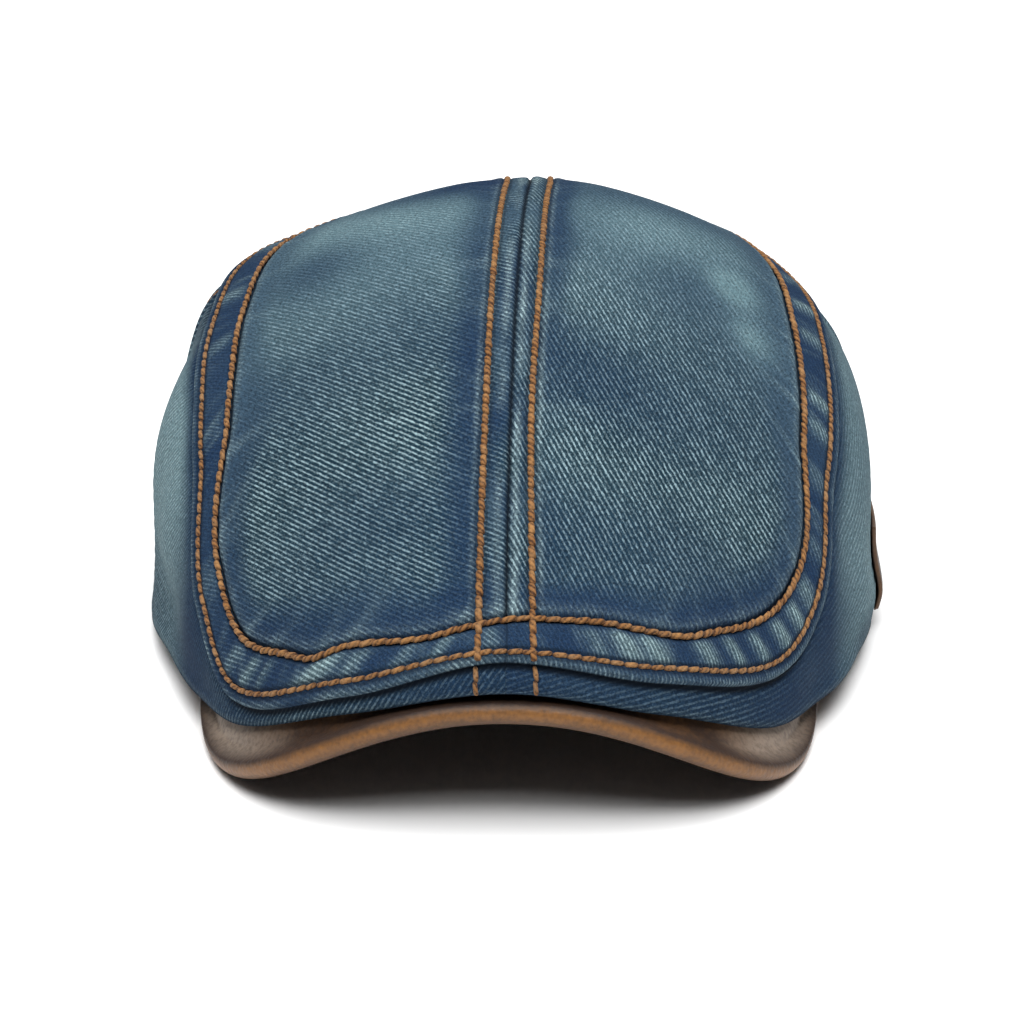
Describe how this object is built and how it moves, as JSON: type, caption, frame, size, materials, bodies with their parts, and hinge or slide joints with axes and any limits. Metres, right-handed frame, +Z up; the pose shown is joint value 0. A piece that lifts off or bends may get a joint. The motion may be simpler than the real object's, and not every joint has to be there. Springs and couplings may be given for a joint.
{
  "type": "denim flat cap",
  "caption": "Denim flat cap: seamed top framed by a stitched band, plain side and back panels, short arched leather peak with a rolled rim; open below for the head.",
  "frame": {"origin": "bottom centre of the cap's bounding box, on the surface that it rests on", "axes": "the peak points to -Y, +Z is up and +X is the wearer's left"},
  "size_m": [0.1913, 0.2617, 0.1026],
  "materials": {
    "denim_top": "stone-washed blue twill, faded in the middle of the panels",
    "denim_band": "dark blue twill, worn pale on its puckers and folded edge",
    "denim_wall": "washed blue twill",
    "leather_peak": "satin brown leather, burnished copper on the rim",
    "leather_patch": "bare brown leather",
    "thread": "thick copper-orange topstitching"
  },
  "bodies": {
    "root": {"top_panel_left": "denim_top", "top_panel_right": "denim_top", "crown_band": "denim_band", "side_panel_left": "denim_wall", "side_panel_right": "denim_wall", "back_panel_left": "denim_wall", "back_panel_right": "denim_wall", "peak": "leather_peak", "side_patch": "leather_patch"}
  },
  "joints": []
}
